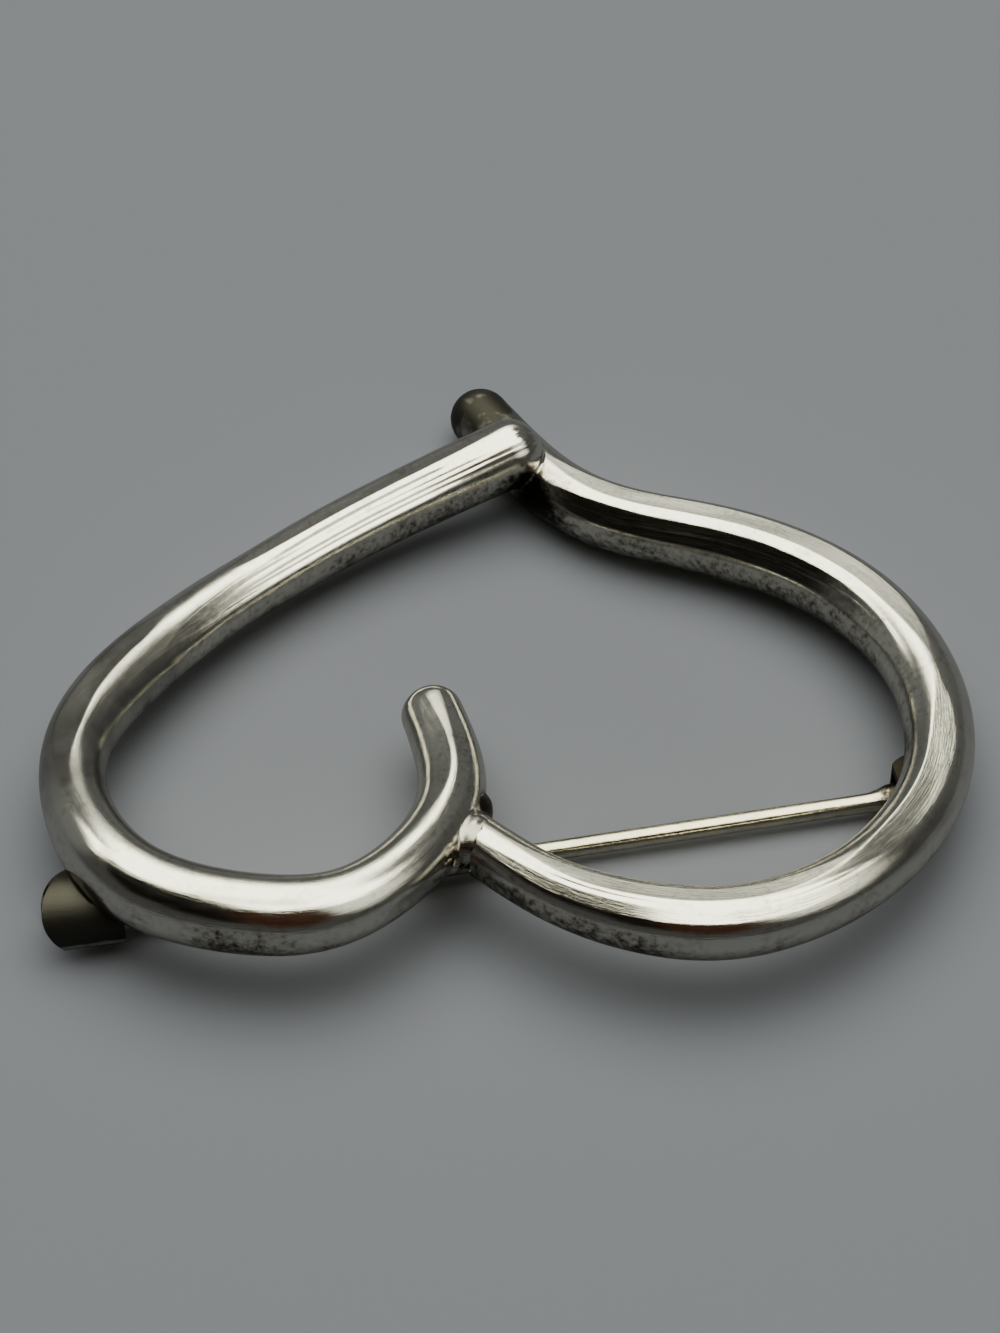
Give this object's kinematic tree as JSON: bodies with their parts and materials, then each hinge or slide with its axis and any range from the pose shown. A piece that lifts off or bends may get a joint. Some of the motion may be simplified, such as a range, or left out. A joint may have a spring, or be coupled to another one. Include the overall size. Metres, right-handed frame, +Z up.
{
  "type": "heart brooch",
  "caption": "Open heart brooch of two tapered round wires, lying on its back, with a hinged pin stem that closes into a curled catch.",
  "frame": {"origin": "middle of the brooch's box, on the surface that it lies on", "axes": "+Z up out of the brooch's front, +Y towards the tip of the heart, +X to the right lobe with the tip pointing away"},
  "size_m": [0.0518, 0.0467, 0.0074],
  "materials": {
    "polished_silver": "polished by hand, with fine scratches, and tarnish in the joints and on the inner sides",
    "rivet_silver": "hammered flat, satin",
    "stem_silver": "drawn wire, polished, slightly warm"
  },
  "bodies": {
    "brooch": {"heart_frame": "polished_silver", "hinge_rivet": "rivet_silver"},
    "stem": {"pin_stem": "stem_silver"}
  },
  "joints": [
    {"name": "pin_hinge", "type": "hinge", "parent": "brooch", "child": "stem", "pos_m": [0.0229, -0.0086, 0.00105], "axis": [0.1941, -0.981, 0], "range_deg": [0, 80]}
  ]
}
